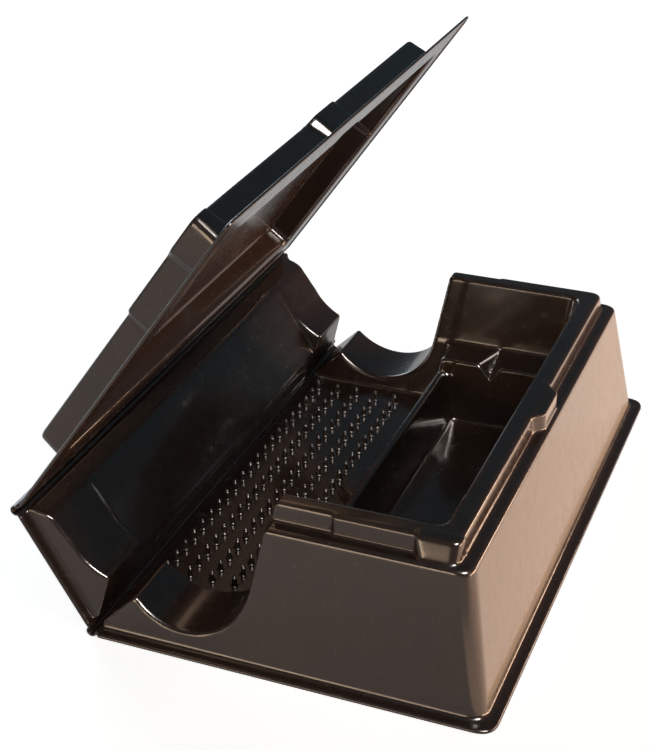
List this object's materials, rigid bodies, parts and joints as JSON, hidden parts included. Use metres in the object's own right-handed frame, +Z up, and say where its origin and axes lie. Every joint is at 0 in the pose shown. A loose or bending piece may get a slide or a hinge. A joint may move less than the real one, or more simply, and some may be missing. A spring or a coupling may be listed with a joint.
{
  "type": "hinged clamshell enclosure",
  "caption": "Formed plastic clamshell box with a folding side panel and capped lid on living hinges, round end ports, studded runway, divider and deep pocket.",
  "frame": {"origin": "middle of the bounding box at rest, on the surface the base stands on", "axes": "+X from the hinged side across the base, +Y along the hinges towards the end without the corner lug, +Z up"},
  "size_m": [0.2858, 0.39, 0.2718],
  "materials": {
    "base_sheet": "glossy formed sheet",
    "side_panel_sheet": "glossy formed sheet",
    "lid_sheet": "glossy formed sheet",
    "hinge_web": "glossy thinned sheet at the fold"
  },
  "bodies": {
    "base": {"back_inner_wall": "base_sheet", "back_pocket_end_wall": "base_sheet", "back_port_saddle": "base_sheet", "back_rim": "base_sheet", "back_shelf": "base_sheet", "back_wall": "base_sheet", "base_flange": "base_sheet", "base_hinge_bead": "hinge_web", "divider": "base_sheet", "front_inner_wall": "base_sheet", "front_pocket_end_wall": "base_sheet", "front_port_saddle": "base_sheet", "front_rim": "base_sheet", "front_shelf": "base_sheet", "front_wall": "base_sheet", "pocket_floor": "base_sheet", "right_inner_wall": "base_sheet", "right_rim": "base_sheet", "right_wall": "base_sheet", "runway_floor": "base_sheet", "runway_pins": "base_sheet"},
    "side_panel": {"side_panel_back_flange": "side_panel_sheet", "side_panel_back_horn": "side_panel_sheet", "side_panel_front_flange": "side_panel_sheet", "side_panel_front_horn": "side_panel_sheet", "side_panel_pan": "side_panel_sheet", "lid_hinge_bead": "hinge_web"},
    "lid": {"lid_cap_back_wall": "lid_sheet", "lid_cap_free_wall": "lid_sheet", "lid_cap_front_wall": "lid_sheet", "lid_cap_hinge_wall": "lid_sheet", "lid_cap_top": "lid_sheet", "lid_flange": "lid_sheet"}
  },
  "joints": [
    {"name": "side_panel_hinge", "type": "hinge", "parent": "base", "child": "side_panel", "pos_m": [-0.09712, 0, 0.0032], "axis": [0, -1, 0], "range_deg": [-30.4, 49.6]},
    {"name": "lid_hinge", "type": "hinge", "parent": "side_panel", "child": "lid", "pos_m": [-0.13968, 0, 0.07574], "axis": [0, -1, 0], "range_deg": [-24.2, 65.8]}
  ]
}
